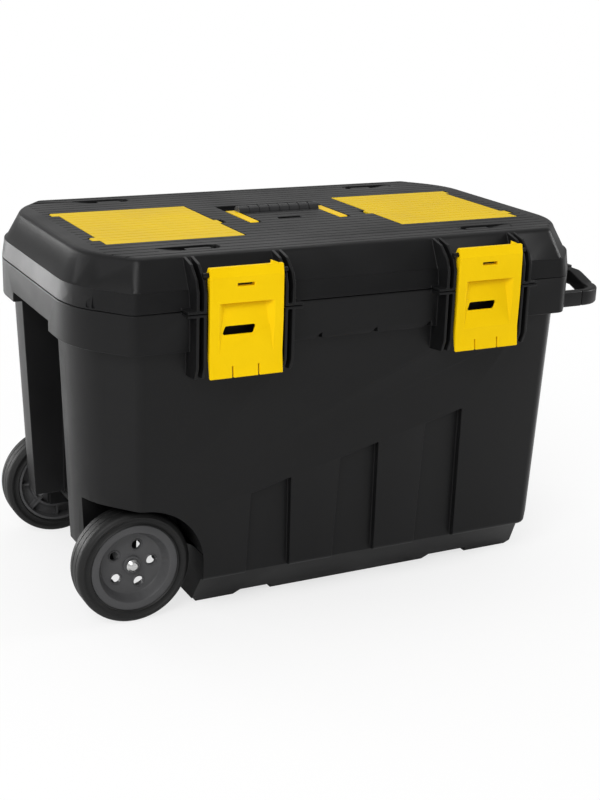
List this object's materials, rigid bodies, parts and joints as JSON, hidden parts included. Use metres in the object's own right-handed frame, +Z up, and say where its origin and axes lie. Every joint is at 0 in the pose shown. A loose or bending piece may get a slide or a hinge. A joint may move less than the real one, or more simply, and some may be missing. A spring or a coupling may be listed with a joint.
{
  "type": "wheeled jobsite storage box",
  "caption": "Wheeled jobsite storage box: drafted black tub, hinged lid with flush organiser covers and a fold-down carry handle, yellow front latches, pull-out handle at one end.",
  "frame": {"origin": "on the floor under the middle of the chest, in the underside of the middle foot", "axes": "+X along the chest towards the pull handle, +Y towards the lid hinges, +Z up; the latches face -Y"},
  "size_m": [0.79, 0.494, 0.49],
  "materials": {
    "black": "fine grain, satin",
    "yellow": "smooth, satin gloss",
    "cover_yellow": "lined, satin",
    "hub_grey": "satin",
    "tyre": "matt, hard rubber",
    "steel": "zinc plated",
    "grip": "soft, matt"
  },
  "bodies": {
    "tub": {"tub_shell": "black", "axle": "steel", "front_axle_cap": "steel", "rear_axle_cap": "steel", "front_handle_guide": "black", "rear_handle_guide": "black", "guide_screws": "steel", "left_hinge_pin": "steel", "right_hinge_pin": "steel"},
    "lid": {"lid_shell": "black", "left_bin": "black", "right_bin": "black", "handle_well": "black", "bin_screws": "steel", "well_screws": "steel", "left_latch_pin": "black", "right_latch_pin": "black", "left_cover_pins": "steel", "right_cover_pins": "steel", "carry_pins": "steel"},
    "left_cover": {"left_cover": "cover_yellow"},
    "right_cover": {"right_cover": "cover_yellow"},
    "carry_handle": {"left_carry_arm": "yellow", "right_carry_arm": "yellow", "carry_grip": "grip"},
    "left_latch": {"left_latch": "yellow"},
    "right_latch": {"right_latch": "yellow"},
    "front_wheel": {"front_wheel_hub": "hub_grey", "front_wheel_tyre": "tyre"},
    "rear_wheel": {"rear_wheel_hub": "hub_grey", "rear_wheel_tyre": "tyre"},
    "pull_handle": {"pull_handle_bar": "black", "pull_handle_grip": "grip", "front_pull_arm": "black", "rear_pull_arm": "black"}
  },
  "joints": [
    {"name": "lid_hinge", "type": "hinge", "parent": "tub", "child": "lid", "pos_m": [0, 0.236, 0.4195], "axis": [-1, 0, 0], "range_deg": [0, 100]},
    {"name": "left_cover_hinge", "type": "hinge", "parent": "lid", "child": "left_cover", "pos_m": [-0.309, -0.009, 0.4793], "axis": [0, -1, 0], "range_deg": [0, 110]},
    {"name": "right_cover_hinge", "type": "hinge", "parent": "lid", "child": "right_cover", "pos_m": [0.309, -0.009, 0.4793], "axis": [0, 1, 0], "range_deg": [0, 110]},
    {"name": "carry_handle_hinge", "type": "hinge", "parent": "lid", "child": "carry_handle", "pos_m": [0, -0.027, 0.4755], "axis": [1, 0, 0], "range_deg": [0, 95]},
    {"name": "left_latch_hinge", "type": "hinge", "parent": "lid", "child": "left_latch", "pos_m": [-0.1735, -0.239, 0.4655], "axis": [-1, 0, 0], "range_deg": [0, 100]},
    {"name": "right_latch_hinge", "type": "hinge", "parent": "lid", "child": "right_latch", "pos_m": [0.1735, -0.239, 0.4655], "axis": [-1, 0, 0], "range_deg": [0, 100]},
    {"name": "front_wheel_spin", "type": "hinge", "parent": "tub", "child": "front_wheel", "pos_m": [-0.293, -0.161, 0.0755], "axis": [0, 1, 0], "continuous": true},
    {"name": "rear_wheel_spin", "type": "hinge", "parent": "tub", "child": "rear_wheel", "pos_m": [-0.293, 0.161, 0.0755], "axis": [0, 1, 0], "continuous": true},
    {"name": "pull_handle_slide", "type": "slide", "parent": "tub", "child": "pull_handle", "axis": [1, 0, 0], "range_m": [0, 0.3]}
  ]
}
